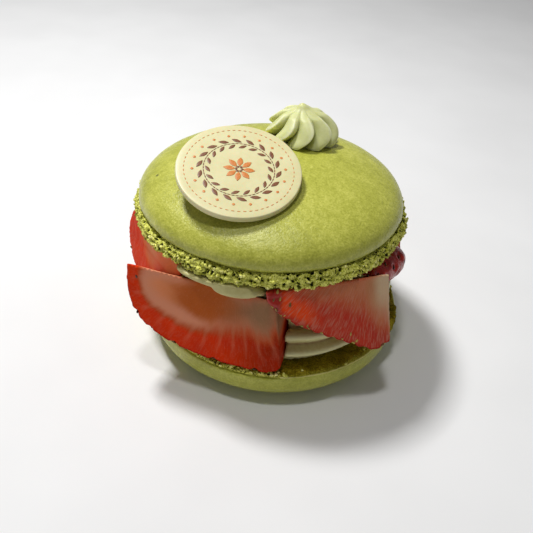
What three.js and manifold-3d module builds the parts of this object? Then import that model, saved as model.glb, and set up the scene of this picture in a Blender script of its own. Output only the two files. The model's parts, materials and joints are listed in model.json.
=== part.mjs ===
// A large french macaron: two pistachio shells with a filling of cream and
// strawberry wedges, a white chocolate disc and a piped cream rosette on top.
// Millimetres, +Z up. The origin is on the ground under the bottom shell's centre.

import * as THREE from 'three';
import { mergeVertices } from 'three/addons/utils/BufferGeometryUtils.js';
import Module from 'manifold-3d';

const wasm = await Module();
wasm.setup();

// ---------------------------------------------------------------- dimensions

const GAP = 0.3; // air between neighbouring pieces

// Bottom shell: laid dome down, so its flat, browned side faces up.
const BOTTOM = {
  radius: 36,
  domeHeight: 9.6,
  domeExponent: 3,
  sunk: 0.9, // how much of the dome is flattened where it stands
  wallTop: 10.4,
  seamRadius: 35.1,
  footTop: 12.1,
  flatRadius: 33.2,
  flatTop: 11.8,
};

// Top shell: its own origin is on its axis, at the edge between foot and dome.
const TOP = {
  center: new THREE.Vector3(-2.89, 2.66, 40.51),
  tiltX: -0.96, // degrees, front edge up
  tiltY: -0.72, // degrees, right edge up
  radius: 35.33,
  domeHeight: 11.02,
  domeExponent: 2.1,
  widest: 1.54, // height of the widest ring above the foot
  seamRadius: 34.1,
  footRadius: 36.3,
  footHeight: 3.3,
};

const UP = new THREE.Vector3(0, 0, 1);

const RUFFLE = 0.45; // how far the crumbs of a foot stand in or out
const SHELL_SEGMENTS = 94;

// Cream: a core and two piped ropes laid round it, one on the other.
const CREAM = {
  coreRadius: 23,
  ropes: [{ level: 17.4, center: 25.9 }, { level: 31.2, center: 25.1 }],
  ropeWidth: 7.8,
  ropeHeight: 7.0,
  ridges: 8,
  ridgeDepth: 0.11,
  wander: 0.35, // radians that the ridges wander up and down by
  segments: 30,
};

// Where the cream is squeezed out over the front left wedge: two soft lips.
const LIPS = [
  { center: [-14.7, -29.4, 36.8], size: [10, 3.2, 1.9], heading: -18 },
  { center: [-8.6, -31.8, 35.5], size: [6.4, 2.4, 1.9], heading: -2 },
];

// Strawberry wedges. The core line runs from butt to tip; the cut face that
// shows looks along face and bows outward by bow at its middle; reach is the
// wedge's size in that face, away from the core line, and depth its size into
// the filling; angle is the angle between its two cuts. The butt is cut at a
// slant and rounds off over shoulder, a share of the length, from blunt.
const WEDGES = [
  {
    name: 'strawberry_front_right',
    butt: [27.3, -23.1, 37.4], tip: [-2.2, -34.5, 38.4], face: [0.4, -0.87, 0.3],
    reach: 27, depth: 13, angle: 62, bow: 0.6,
    taper: 0.4, point: 0.43, slant: 0.1, shoulder: 0.22, blunt: 0.49,
  },
  {
    name: 'strawberry_front_left',
    butt: [0.6, -32.8, 34.4], tip: [-36.8, -23, 34.4], face: [-0.25, -0.96, 0.1],
    reach: 22.2, depth: 15, angle: 50, bow: 2.3,
    taper: 3.4, point: 0.3, slant: 0.16, shoulder: 0.1, blunt: 0.8,
  },
  {
    name: 'strawberry_left',
    butt: [-41.2, -1.2, 29.5], tip: [-22.2, -28.6, 31], face: [-0.82, -0.57, 0.14],
    reach: 10.6, depth: 9, angle: 180, bow: 0.6,
    taper: 2.8, point: 0.55, slant: 0, shoulder: 0.38, blunt: 0,
  },
  {
    name: 'strawberry_right',
    butt: [31.5, -3.5, 28.8], tip: [20.5, -23, 33], face: [-0.82, 0.45, -0.3],
    reach: 4.4, depth: 5, angle: 180, bow: 0,
    taper: 3, point: 0.5, slant: 0, shoulder: 0.2, blunt: 0.5,
  },
  {
    name: 'strawberry_back_left',
    butt: [-38, 6, 36], tip: [-24, 27.5, 36], face: [-0.84, 0.54, 0.12],
    reach: 19, depth: 12, angle: 58, bow: 1,
    taper: 2.4, point: 0.45, slant: 0.1, shoulder: 0.12, blunt: 0.7,
  },
  {
    name: 'strawberry_back',
    butt: [-19, 32.4, 35.6], tip: [14.5, 35.4, 35.8], face: [-0.1, 0.99, 0.1],
    reach: 21, depth: 13, angle: 56, bow: 1.4,
    taper: 2.6, point: 0.4, slant: 0.14, shoulder: 0.12, blunt: 0.75,
  },
  {
    name: 'strawberry_back_right',
    butt: [33.2, 6.5, 35.8], tip: [20.2, 31, 35.8], face: [0.87, 0.49, 0.14],
    reach: 20, depth: 12, angle: 58, bow: 1.6,
    taper: 1.9, point: 0.55, slant: 0.12, shoulder: 0.12, blunt: 0.8,
  },
];
const WEDGE_SIDES = 22;
const WEDGE_ROWS = 9;
const BOW_STEPS = 6;

// White chocolate disc, leaning forward on a dab of cream.
const DISC = {
  center: new THREE.Vector3(-8.04, -14.66, 15.62), // of its top face, in the top shell's frame
  leanX: 17.36,
  leanY: 4.1,
  radius: 15.3,
  thickness: 1.6,
  edge: 0.35,
};

const DAB = { x: -9, y: -7.5, radius: 4.4, height: 7 };

const ROSETTE = {
  x: 7.0,
  y: 13.2,
  base: 10.2, // height of its foot in the top shell's frame
  radius: 10.1,
  height: 11.6,
  lobes: 9,
  lobeDepth: 0.17,
  twist: 0.35, // radians that the lobes swing by as they rise
  rows: 9,
  pointsPerLobe: 4,
};

// ------------------------------------------------------------------ materials

function food(color, roughness) {
  return new THREE.MeshStandardMaterial({ color, roughness, metalness: 0 });
}

const PISTACHIO = food(0xb4b450, 0.55);
const PISTACHIO_FLAT = food(0x9c9a44, 0.7);
const STRAWBERRY = food(0xb23a22, 0.3);
const CREAM_WHITE = food(0xd8d2b4, 0.5);
const ROSETTE_GREEN = food(0xc8d096, 0.5);
const WHITE_CHOCOLATE = food(0xe2deb2, 0.4);

// -------------------------------------------------------------------- helpers

// Indices without the flat triangles that a lathe leaves at its poles.
function liveTriangles(index) {
  const kept = [];
  for (let i = 0; i < index.length; i += 3) {
    const [a, b, c] = [index[i], index[i + 1], index[i + 2]];
    if (a !== b && b !== c && c !== a) kept.push(a, b, c);
  }
  return kept;
}

// A solid from a closed geometry, whichever way its faces are turned.
function solid(geometry) {
  const bare = new THREE.BufferGeometry();
  bare.setAttribute('position', geometry.getAttribute('position'));
  bare.setIndex(geometry.getIndex());
  const merged = mergeVertices(bare, 1e-4);
  const vertProperties = Float32Array.from(merged.getAttribute('position').array);
  const triangles = liveTriangles(merged.getIndex().array);
  if (signedVolume(vertProperties, triangles) < 0) triangles.reverse();
  const triVerts = Uint32Array.from(triangles);
  return new wasm.Manifold(new wasm.Mesh({ numProp: 3, vertProperties, triVerts }));
}

function signedVolume(points, triangles) {
  const [a, b, c] = [new THREE.Vector3(), new THREE.Vector3(), new THREE.Vector3()];
  let sum = 0;
  for (let i = 0; i < triangles.length; i += 3) {
    a.fromArray(points, triangles[i] * 3);
    b.fromArray(points, triangles[i + 1] * 3);
    c.fromArray(points, triangles[i + 2] * 3);
    sum += a.dot(b.cross(c)) / 6;
  }
  return sum;
}

function geometryOf(manifold) {
  const { vertProperties, triVerts } = manifold.getMesh();
  const geometry = new THREE.BufferGeometry();
  geometry.setAttribute('position', new THREE.BufferAttribute(vertProperties, 3));
  geometry.setIndex(new THREE.BufferAttribute(triVerts, 1));
  geometry.computeVertexNormals();
  return geometry;
}

// Turns a profile of [radius, height] pairs about the vertical axis.
function lathe(profile, segments) {
  const points = profile.map(([r, z]) => new THREE.Vector2(r, z));
  return new THREE.LatheGeometry(points, segments).rotateX(Math.PI / 2);
}

// Moves every vertex by a rule that reads and changes the vector it is given.
function reshape(geometry, rule) {
  const position = geometry.getAttribute('position');
  const point = new THREE.Vector3();
  for (let i = 0; i < position.count; i++) {
    rule(point.fromBufferAttribute(position, i));
    position.setXYZ(i, point.x, point.y, point.z);
  }
  return geometry;
}

function scaleRadius(point, factor) {
  point.x *= factor;
  point.y *= factor;
}

// Points of a dome from height low to high above its widest ring.
function domeArc(radius, height, exponent, low, high, steps) {
  const start = Math.asin(Math.pow(low / height, exponent / 2));
  const end = Math.asin(Math.pow(high / height, exponent / 2));
  return Array.from({ length: steps + 1 }, (_, i) => {
    const angle = start + ((end - start) * i) / steps;
    const r = radius * Math.pow(Math.max(Math.cos(angle), 0), 2 / exponent);
    const z = height * Math.pow(Math.sin(angle), 2 / exponent);
    return [high === height && i === steps ? 0 : r, z];
  });
}

// The crumbs of a foot: a mixture of waves round the rim that never repeats.
function crumb(angle, level) {
  const small = Math.sin(37 * angle + 2 * level) * Math.cos(29 * angle - 3 * level);
  const large = 0.5 * Math.sin(11 * angle + level) + 0.3 * Math.sin(5 * angle + 1);
  return small + large;
}

// --------------------------------------------------------------------- shells

function topShellProfile(grow) {
  const { radius, domeHeight, domeExponent, widest, seamRadius, footRadius, footHeight } = TOP;
  const dome = domeArc(radius + grow, domeHeight + grow, domeExponent, 0, domeHeight + grow, 11);
  return [
    [0, -footHeight],
    [footRadius - 6, -footHeight],
    [footRadius - 1.4, -footHeight + 0.1],
    [footRadius, -footHeight + 0.8],
    [footRadius, -footHeight + 1.5],
    [footRadius - 0.5, -0.35],
    [seamRadius, 0],
    [radius - 0.5 + grow, widest * 0.4],
    ...dome.map(([r, z]) => [r, z + widest]),
  ];
}

function topShell() {
  const geometry = lathe(topShellProfile(0), SHELL_SEGMENTS);
  return reshape(geometry, (point) => {
    const radius = Math.hypot(point.x, point.y);
    const inFoot = point.z < -0.2 && radius > TOP.footRadius - 2;
    if (!inFoot) return;
    const offset = RUFFLE * crumb(Math.atan2(point.y, point.x), point.z);
    scaleRadius(point, (radius + offset) / radius);
  });
}

function bottomShellProfile() {
  const { radius, domeHeight, domeExponent, sunk, wallTop, seamRadius } = BOTTOM;
  const { footTop, flatRadius, flatTop } = BOTTOM;
  const belowWidest = domeHeight - sunk;
  const wall = domeArc(radius, domeHeight, domeExponent, 0, belowWidest, 7).reverse();
  return [
    [0, 0],
    ...wall.map(([r, z]) => [r, belowWidest - z]),
    [radius - 0.1, wallTop - 0.4],
    [seamRadius, wallTop],
    [radius - 0.2, wallTop + 0.7],
    [radius - 0.7, footTop],
    [flatRadius, footTop],
    [flatRadius - 2, flatTop],
    [0, flatTop],
  ];
}

// The foot of the bottom shell bulges out in big lobes on the right.
function rightBulge(angle) {
  const center = THREE.MathUtils.degToRad(-2);
  const away = Math.atan2(Math.sin(angle - center), Math.cos(angle - center));
  return Math.exp(-Math.pow(away / 0.35, 2)) * (1.1 + 0.7 * Math.sin(26 * angle));
}

function bottomShell() {
  const geometry = lathe(bottomShellProfile(), SHELL_SEGMENTS);
  return reshape(geometry, (point) => {
    const radius = Math.hypot(point.x, point.y);
    const inFoot = point.z > BOTTOM.wallTop && radius > BOTTOM.flatRadius - 1;
    if (!inFoot) return;
    const angle = Math.atan2(point.y, point.x);
    const offset = 0.6 * RUFFLE * crumb(angle, point.z) + rightBulge(angle);
    scaleRadius(point, (radius + offset) / radius);
  });
}

// --------------------------------------------------------------- strawberries

// Half width of a berry at a share t of its length from butt to tip, as a
// share of its greatest: the butt rounds off, the tip tapers.
function berryWidth(t, { taper, point, shoulder, blunt }) {
  const edge = Math.max(0, (shoulder - t) / shoulder);
  const round = Math.sqrt(1 - (1 - blunt) * edge * edge);
  return round * Math.pow(Math.max(0, 1 - Math.pow(t, taper)), point);
}

// A whole berry along +Y, with its reach on X and its depth on Z.
function berry(spec, length, grow) {
  const points = [new THREE.Vector2(0, -grow)];
  for (let i = 0; i <= WEDGE_ROWS; i++) {
    const t = 0.5 - 0.5 * Math.cos((Math.PI * i) / WEDGE_ROWS);
    const width = i === WEDGE_ROWS ? 0 : Math.max(berryWidth(t, spec), 0.02);
    points.push(new THREE.Vector2(width, t * length + grow * (2 * t - 1)));
  }
  const geometry = new THREE.LatheGeometry(points, WEDGE_SIDES);
  geometry.scale(spec.reach + grow, 1, spec.depth + grow);
  return reshape(geometry, (point) => {
    point.y -= spec.slant * Math.max(point.x, 0) * Math.max(0, 1 - point.y / length);
  });
}

// What a knife takes off the shown side: all that lies before the bowed face.
function faceCutter(spec, length, grow) {
  const span = spec.reach * 3;
  const far = spec.depth + 20;
  const face = new THREE.Shape();
  face.moveTo(-span, far);
  for (let i = 0; i <= BOW_STEPS; i++) {
    const t = i / BOW_STEPS;
    const bulge = spec.bow * 4 * t * (1 - t);
    face.lineTo(-0.2 * length + 1.4 * length * t, bulge + grow);
  }
  face.lineTo(length + span, far);
  const cutter = new THREE.ExtrudeGeometry(face, { depth: span * 2, bevelEnabled: false });
  return cutter.translate(0, 0, -span);
}

// A wedge of strawberry in its place. grow makes the larger one that its
// neighbours are cut with.
function wedge(spec, grow = 0) {
  const butt = new THREE.Vector3(...spec.butt);
  const core = new THREE.Vector3(...spec.tip).sub(butt);
  const along = core.clone().normalize();
  const outward = new THREE.Vector3(...spec.face);
  outward.addScaledVector(along, -along.dot(outward)).normalize();
  const across = along.clone().cross(outward);
  if (across.z > 0) across.negate();
  const turned = across.clone().cross(along);
  const side = Math.sign(turned.dot(outward)); // which way of local Z is outward

  // Local axes: X across, Y along, Z turned. The cutter's shape lies in Y, Z.
  const cutterFrame = new THREE.Matrix4().makeBasis(
    new THREE.Vector3(0, 1, 0), new THREE.Vector3(0, 0, side), new THREE.Vector3(side, 0, 0));
  const knife = faceCutter(spec, core.length(), grow).applyMatrix4(cutterFrame);
  let piece = solid(berry(spec, core.length(), grow)).subtract(solid(knife));
  if (spec.angle < 180) {
    const angle = THREE.MathUtils.degToRad(spec.angle);
    const pivot = (Math.cos(angle) * spec.bow) / 2; // the edge lies on the bowed face
    piece = piece.trimByPlane([Math.sin(angle), 0, Math.cos(angle) * side], pivot - grow);
  }
  const frame = new THREE.Matrix4().makeBasis(across, along, turned).setPosition(butt);
  return solid(geometryOf(piece).applyMatrix4(frame));
}

// The wedge as it lies in the filling: clear of both shells and of the wedges
// that were laid before it.
function fittedWedge(index) {
  let piece = wedge(WEDGES[index]).subtract(roofCut()).subtract(floorCut());
  for (const other of WEDGES.slice(0, index)) piece = piece.subtract(wedge(other, GAP));
  return geometryOf(largestBody(piece));
}

// ---------------------------------------------------------------------- cream

// A rope with a star section, lying in a ring, its ridges wandering a little.
function creamRope({ level, center }) {
  const { ropeWidth, ropeHeight, ridges, ridgeDepth, wander, segments } = CREAM;
  const steps = ridges * 2;
  const profile = Array.from({ length: steps + 1 }, (_, i) => {
    const turn = ((i % steps) / steps) * Math.PI * 2;
    const reach = 1 - (i % 2) * ridgeDepth * 2;
    return [center + reach * Math.cos(turn), reach * Math.sin(turn)];
  });
  const ring = reshape(lathe(profile, segments), (point) => {
    const radius = Math.hypot(point.x, point.y);
    const [out, up] = [radius - center, point.z];
    const turn = wander * Math.sin(Math.atan2(point.y, point.x) + level);
    const wound = out * Math.cos(turn) - up * Math.sin(turn);
    scaleRadius(point, (center + ropeWidth * wound) / radius);
    point.z = ropeHeight * (out * Math.sin(turn) + up * Math.cos(turn));
  });
  return solid(ring.translate(0, 0, level));
}

function creamLip({ center, size, heading }) {
  const lip = new THREE.SphereGeometry(1, 16, 10).scale(...size);
  return solid(lip.rotateZ(THREE.MathUtils.degToRad(heading)).translate(...center));
}

// Everything above the top shell's underside, and below the bottom shell's top.
function roofCut() {
  const slab = new THREE.CylinderGeometry(60, 60, 20, 24).rotateX(Math.PI / 2);
  slab.translate(0, 0, 10 - TOP.footHeight - GAP);
  return solid(slab.applyMatrix4(topFrame()));
}

function floorCut() {
  const slab = new THREE.CylinderGeometry(60, 60, 20, 24).rotateX(Math.PI / 2);
  return solid(slab.translate(0, 0, BOTTOM.footTop + GAP - 10));
}

function creamFilling() {
  const { coreRadius, ropes, segments } = CREAM;
  const height = TOP.center.z;
  const core = new THREE.CylinderGeometry(coreRadius, coreRadius, height, segments);
  let cream = solid(core.rotateX(Math.PI / 2).translate(0, 0, height / 2));
  for (const rope of ropes) cream = cream.add(creamRope(rope));
  for (const lip of LIPS) cream = cream.add(creamLip(lip));
  cream = cream.subtract(roofCut()).subtract(floorCut());
  for (const spec of WEDGES) cream = cream.subtract(wedge(spec, GAP));
  return largestBody(cream);
}

function largestBody(manifold) {
  return manifold.decompose().reduce((a, b) => (a.volume() > b.volume() ? a : b));
}

// ------------------------------------------------------------------ toppings

function discFrame() {
  const turn = new THREE.Euler(
    THREE.MathUtils.degToRad(DISC.leanX), THREE.MathUtils.degToRad(DISC.leanY), 0, 'YXZ');
  return new THREE.Matrix4().makeRotationFromEuler(turn).setPosition(DISC.center);
}

function disc(grow = 0, headroom = 0) {
  const { radius, thickness, edge } = DISC;
  const rim = radius + grow;
  const [low, high] = [-thickness - grow, grow + headroom];
  return lathe([
    [0, low],
    [rim - edge, low],
    [rim, low + edge],
    [rim, high - edge],
    [rim - edge, high],
    [0, high],
  ], 40).applyMatrix4(discFrame());
}

function grownDome() {
  return solid(lathe(topShellProfile(GAP), SHELL_SEGMENTS));
}

// The dab of cream that holds the disc up at the back.
function dab() {
  const blob = new THREE.SphereGeometry(DAB.radius, 10, 6).scale(1, 1, DAB.height / DAB.radius);
  const placed = solid(blob.translate(DAB.x, DAB.y, TOP.domeHeight));
  const overDome = placed.subtract(grownDome());
  return geometryOf(largestBody(overDome.subtract(solid(disc(GAP, DAB.height)))));
}

// A piped kiss: lobes with a crest each, which swing round as they rise to a peak.
function rosette() {
  const { x, y, base, radius, height, lobes, lobeDepth, twist, rows, pointsPerLobe } = ROSETTE;
  const profile = [[0, 0]];
  for (let i = 0; i <= rows; i++) {
    const t = i / rows;
    const belly = Math.sin(Math.PI * (0.28 + 0.72 * t));
    profile.push([i === rows ? 0 : radius * Math.pow(belly, 0.85), height * t]);
  }
  const geometry = reshape(lathe(profile, lobes * pointsPerLobe), (point) => {
    const share = point.z / height;
    const around = Math.atan2(point.y, point.x) / (2 * Math.PI);
    const phase = (((around * lobes) % 1) + 1) % 1;
    const crest = Math.min(1 - Math.pow(1 - phase / 0.75, 2), (1 - phase) / 0.25);
    scaleRadius(point, 1 - lobeDepth * 2 * (1 - crest) * (1 - share * share));
    point.applyAxisAngle(UP, twist * Math.sin(((1 - share) * Math.PI) / 0.7));
  });
  return geometryOf(solid(geometry.translate(x, y, base)).subtract(grownDome()));
}

// ------------------------------------------------------------------- assembly

function topTilt() {
  return new THREE.Euler(
    THREE.MathUtils.degToRad(TOP.tiltX), THREE.MathUtils.degToRad(TOP.tiltY), 0, 'YXZ');
}

function topFrame() {
  return new THREE.Matrix4().makeRotationFromEuler(topTilt()).setPosition(TOP.center);
}

function node(name, geometry, material) {
  const mesh = new THREE.Mesh(geometry, material.clone());
  mesh.name = name;
  return mesh;
}

const macaron = new THREE.Group();

macaron.add(node('shell_bottom', bottomShell(), PISTACHIO_FLAT));
macaron.add(node('cream_filling', geometryOf(creamFilling()), CREAM_WHITE));
WEDGES.forEach((spec, i) => macaron.add(node(spec.name, fittedWedge(i), STRAWBERRY)));

const lid = new THREE.Group();
lid.position.copy(TOP.center);
lid.rotation.copy(topTilt());
lid.add(node('shell_top', topShell(), PISTACHIO));
lid.add(node('chocolate_disc', disc(), WHITE_CHOCOLATE));
lid.add(node('cream_dab', dab(), CREAM_WHITE));
lid.add(node('cream_rosette', rosette(), ROSETTE_GREEN));
macaron.add(lid);

export default macaron;
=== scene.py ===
import json
from math import asin, ceil, copysign, cos, log2, pi, radians, sin
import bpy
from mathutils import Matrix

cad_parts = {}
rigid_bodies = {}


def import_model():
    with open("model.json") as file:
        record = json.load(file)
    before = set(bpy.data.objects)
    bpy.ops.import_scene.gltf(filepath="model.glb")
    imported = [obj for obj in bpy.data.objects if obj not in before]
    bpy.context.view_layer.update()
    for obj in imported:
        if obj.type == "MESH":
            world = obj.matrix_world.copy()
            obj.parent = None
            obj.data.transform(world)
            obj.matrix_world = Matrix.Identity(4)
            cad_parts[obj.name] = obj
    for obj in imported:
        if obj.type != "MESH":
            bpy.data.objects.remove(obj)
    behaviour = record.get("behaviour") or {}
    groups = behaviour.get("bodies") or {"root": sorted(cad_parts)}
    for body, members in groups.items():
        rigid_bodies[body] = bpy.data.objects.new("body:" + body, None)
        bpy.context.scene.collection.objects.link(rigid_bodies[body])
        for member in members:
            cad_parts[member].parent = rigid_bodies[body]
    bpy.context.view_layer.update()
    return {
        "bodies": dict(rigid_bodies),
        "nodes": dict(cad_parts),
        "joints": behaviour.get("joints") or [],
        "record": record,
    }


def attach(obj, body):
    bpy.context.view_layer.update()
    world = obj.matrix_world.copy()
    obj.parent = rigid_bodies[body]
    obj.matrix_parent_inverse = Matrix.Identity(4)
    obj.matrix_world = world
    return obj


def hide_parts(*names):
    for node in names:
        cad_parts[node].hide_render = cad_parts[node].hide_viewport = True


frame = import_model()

from types import SimpleNamespace as Sizes

import bpy
import numpy as np
from mathutils import Matrix, Vector

MM = 0.001  # everything below is in millimetres until it becomes a mesh

# ---------------------------------------------------------------- sizes, as in the part

GAP = 0.3  # between neighbouring pieces
RUFFLE = 0.45  # depth of the ruffle round the feet
BOTTOM = Sizes(radius=36.0, dome_height=9.6, exponent=3.0, sunk=0.9, wall_top=10.4,
               seam=35.1, foot_top=12.1, flat=33.2, flat_top=11.8)
TOP = Sizes(center=(-2.89, 2.66, 40.51), tilt_x=-0.96, tilt_y=-0.72, radius=35.33,
            dome_height=11.02, exponent=2.1, widest=1.54, seam=34.1, foot=36.3,
            foot_height=3.3)
CREAM = Sizes(core=23.0, ropes=((17.4, 25.9), (31.2, 25.1)), width=7.8, height=7.0,
              ridges=8, depth=0.19, wander=0.35)
# soft lips of cream over the front left wedge: center, size and heading
LIPS = (((-14.7, -29.4, 36.8), (10, 3.2, 1.9), -18), ((-8.6, -31.8, 35.5), (6.4, 2.4, 1.9), -2))
DISC = Sizes(center=(-8.04, -14.66, 15.62), lean_x=17.36, lean_y=4.1, radius=15.3,
             thickness=1.6, edge=0.35)
DAB = Sizes(x=-9.0, y=-7.5, radius=4.4, height=7.0)
ROSETTE = Sizes(x=7.0, y=13.2, base=10.2, radius=10.1, height=11.6, lobes=9, depth=0.17,
                twist=0.35, lean=0.5)


def wedge(**given):
    """A strawberry wedge: its sizes as in the part, then the looks of its cut face.

    butt, tip: its two ends; face: the way its cut face looks; reach, depth: half its
    width across and behind; angle: between its two cuts; bow: how far the face bends in;
    taper, point: its outline to the tip; slant: how far the butt is cut askew;
    shoulder, blunt: how the butt is rounded.
    band: thickness of the red rim, at shares of the length from the butt to the tip;
    core: how many bands deep the core's colour starts, at such shares; greyed: how
    far from the butt the flesh turns grey and its red darker, partly the flesh's own
    paler colour by the hull and partly painted shade; fan: where the veins run together
    (along, above the core line) and their radius; pips: seeds on the cut face, by their
    place across and along; skin_from: the share from which the tip is all skin."""
    usual = dict(core=((0, 1.2),), greyed=0.4, blush=0, softness=1, open_top=0, pips=(),
                 skin_from=None, round_butt=False, dark_seeds=False)
    return Sizes(**{**usual, **given})


WEDGES = dict(
    front_right=wedge(
        butt=(27.3, -23.1, 37.4), tip=(-2.2, -34.5, 38.4), face=(0.4, -0.87, 0.3),
        reach=27, depth=13, angle=62, bow=0.6,
        taper=0.4, point=0.43, slant=0.1, shoulder=0.22, blunt=0.49,
        palette="crimson", veins=0.1, fibres=0.42, blush=1, softness=1.7, greyed=0.22,
        band=((0, 7.4), (0.22, 10), (0.5, 8.6), (0.7, 6.8), (1, 6)), fan=(2, 18, 36),
        skin_from=0.87, pips=((1, 28.8), (2.7, 28.3), (2.8, 30), (6.9, 27), (10.4, 21.4),
                              (14.6, 9.8), (16.8, 7.8), (4.6, 25.8))),
    front_left=wedge(
        butt=(0.6, -32.8, 34.4), tip=(-36.8, -23, 34.4), face=(-0.25, -0.96, 0.1),
        reach=22.2, depth=15, angle=50, bow=2.3,
        taper=3.4, point=0.3, slant=0.16, shoulder=0.1, blunt=0.8,
        palette="orange", veins=0.22, fibres=0.08, greyed=0.44, fan=(9.5, 9, 31),
        band=((0, 9.4), (0.18, 11.4), (0.35, 9.1), (0.5, 7), (0.62, 6.4), (0.86, 6.4), (1, 8)),
        core=((0, 1.2), (0.25, 1.05), (0.42, 1.05), (0.52, 1.35), (0.62, 1.6), (0.72, 1.6),
              (0.85, 1.4), (1, 1.2)), pips=((2.9, 35.7),), dark_seeds=True),
    left=wedge(
        butt=(-41.2, -1.2, 29.5), tip=(-22.2, -28.6, 31), face=(-0.82, -0.57, 0.14),
        reach=10.6, depth=9, angle=180, bow=0.6,
        taper=2.8, point=0.55, slant=0, shoulder=0.38, blunt=0,
        palette="scarlet", veins=0.1, fibres=0.15, fan=(14, 12, 22), round_butt=True,
        band=((0, 11.5), (0.25, 10.5), (0.4, 7.2), (0.55, 5), (0.75, 4), (1, 3)), open_top=1.1),
    right=wedge(
        butt=(31.5, -3.5, 28.8), tip=(20.5, -23, 33), face=(-0.82, 0.45, -0.3),
        reach=4.4, depth=5, angle=180, bow=0,
        taper=3, point=0.5, slant=0, shoulder=0.2, blunt=0.5,
        palette="crimson", veins=0.2, fibres=0.2, band=((0, 6),), fan=(8, 12, 20),
        dark_seeds=True),
    back_left=wedge(
        butt=(-38, 6, 36), tip=(-24, 27.5, 36), face=(-0.84, 0.54, 0.12),
        reach=19, depth=12, angle=58, bow=1,
        taper=2.4, point=0.45, slant=0.1, shoulder=0.12, blunt=0.7,
        palette="scarlet", veins=0.4, fibres=0.3, band=((0, 8), (1, 7)), fan=(8, 10, 28)),
    back=wedge(
        butt=(-19, 32.4, 35.6), tip=(14.5, 35.4, 35.8), face=(-0.1, 0.99, 0.1),
        reach=21, depth=13, angle=56, bow=1.4,
        taper=2.6, point=0.4, slant=0.14, shoulder=0.12, blunt=0.75,
        palette="orange", veins=0.5, fibres=0.2, band=((0, 9), (1, 6.5)), fan=(12, 9, 30)),
    back_right=wedge(
        butt=(33.2, 6.5, 35.8), tip=(20.2, 31, 35.8), face=(0.87, 0.49, 0.14),
        reach=20, depth=12, angle=58, bow=1.6,
        taper=1.9, point=0.55, slant=0.12, shoulder=0.12, blunt=0.8,
        palette="crimson", veins=0.35, fibres=0.35, band=((0, 8), (1, 7)), fan=(8, 12, 28)))

# ---------------------------------------------------------------- small helpers


def turned(tilt_x, tilt_y, center):
    """4x4 frame: turned about X, then about Y, then moved."""
    matrix = Matrix.Rotation(radians(tilt_y), 4, "Y") @ Matrix.Rotation(radians(tilt_x), 4, "X")
    matrix.translation = center
    return np.array(matrix)


TOP_FRAME = turned(TOP.tilt_x, TOP.tilt_y, TOP.center)
DISC_LEAN = turned(DISC.lean_x, DISC.lean_y, DISC.center)
DISC_FRAME = TOP_FRAME @ DISC_LEAN


def place(points, matrix):
    """Points of a frame, seen from outside it."""
    return points @ matrix[:3, :3].T + matrix[:3, 3]


def unplace(points, matrix):
    """Points seen from inside a frame."""
    return (points - matrix[:3, 3]) @ np.linalg.inv(matrix[:3, :3]).T


def bearing(points):
    return np.arctan2(points[:, 1], points[:, 0])


def smooth(low, high, value):
    """0 at low, 1 at high, and a soft slope between them. Low may be the larger."""
    share = np.clip((value - low) / (high - low), 0, 1)
    return share * share * (3 - 2 * share)


def unit(rows):
    return rows / np.maximum(np.linalg.norm(rows, axis=1, keepdims=True), 1e-9)


def hashed(cell, seed):
    """A number from 0 to 1 for each whole-numbered cell."""
    mixed = cell[..., 0] * 73856093 ^ cell[..., 1] * 19349663 ^ cell[..., 2] * 83492791
    mixed = (mixed ^ (seed * 2654435761 & 0xFFFFFFFF)) & 0xFFFFFFFF
    mixed = ((mixed ^ (mixed >> 15)) * 2246822519) & 0xFFFFFFFF
    mixed = ((mixed ^ (mixed >> 13)) * 3266489917) & 0xFFFFFFFF
    return (mixed ^ (mixed >> 16)) / 4294967296


def swell(points, size, seed):
    """Soft random hills from -1 to 1 that are size mm apart."""
    scaled = np.asarray(points) / size
    base = np.floor(scaled).astype(np.int64)
    inside = scaled - base
    inside = inside * inside * (3 - 2 * inside)
    total = 0
    for corner in np.ndindex(2, 2, 2):
        share = np.prod(np.where(corner, inside, 1 - inside), axis=-1)
        total = total + share * hashed(base + np.array(corner), seed)
    return 2 * total - 1


def cells(points, size, seed):
    """For random cells about size mm apart: the distances to the nearest and the next
    seat, in sizes, and a number from 0 to 1 that belongs to the nearest."""
    scaled = np.asarray(points) / size
    base = np.floor(scaled).astype(np.int64)
    near, following = np.full((2, len(scaled)), 9.0)
    luck = np.zeros(len(scaled))
    for step in np.ndindex(3, 3, 3):
        cell = base + np.array(step) - 1
        seat = np.stack([hashed(cell, seed + k) for k in (0, 101, 202)], axis=-1)
        away = np.linalg.norm(cell + seat - scaled, axis=-1)
        closer = away < near
        following = np.where(closer, near, np.minimum(following, away))
        luck = np.where(closer, hashed(cell, seed + 303), luck)
        near = np.minimum(near, away)
    return near, following, luck


def shown(name, mesh):
    piece = bpy.data.objects.new(name, mesh)
    bpy.context.scene.collection.objects.link(piece)
    return piece


def mesh_object(name, points, faces):
    mesh = bpy.data.meshes.new(name)
    mesh.from_pydata((np.asarray(points) * MM).tolist(), [], faces)
    mesh.update()
    return shown(name, mesh)


def seats_for(points, **directions):
    """Bare points in mm for a plan to stand on, with directions for it to read."""
    mesh = bpy.data.meshes.new("seats")
    mesh.from_pydata(points.tolist(), [], [])
    for name, values in directions.items():
        layer = mesh.attributes.new(name, "FLOAT_VECTOR", "POINT")
        layer.data.foreach_set("vector", values.astype(np.float32).ravel())
    return mesh


def discard(*pieces):
    for piece in pieces:
        bpy.data.objects.remove(piece)


def numbers_of(piece, key):
    flat = np.empty(len(piece.data.vertices) * 3)
    piece.data.vertices.foreach_get(key, flat)
    return flat.reshape(-1, 3)


def points_of(piece):
    return numbers_of(piece, "co") / MM


def normals_of(piece):
    return numbers_of(piece, "normal")


def move_points(piece, points):
    piece.data.vertices.foreach_set("co", (points * MM).ravel())
    piece.data.update()


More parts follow.
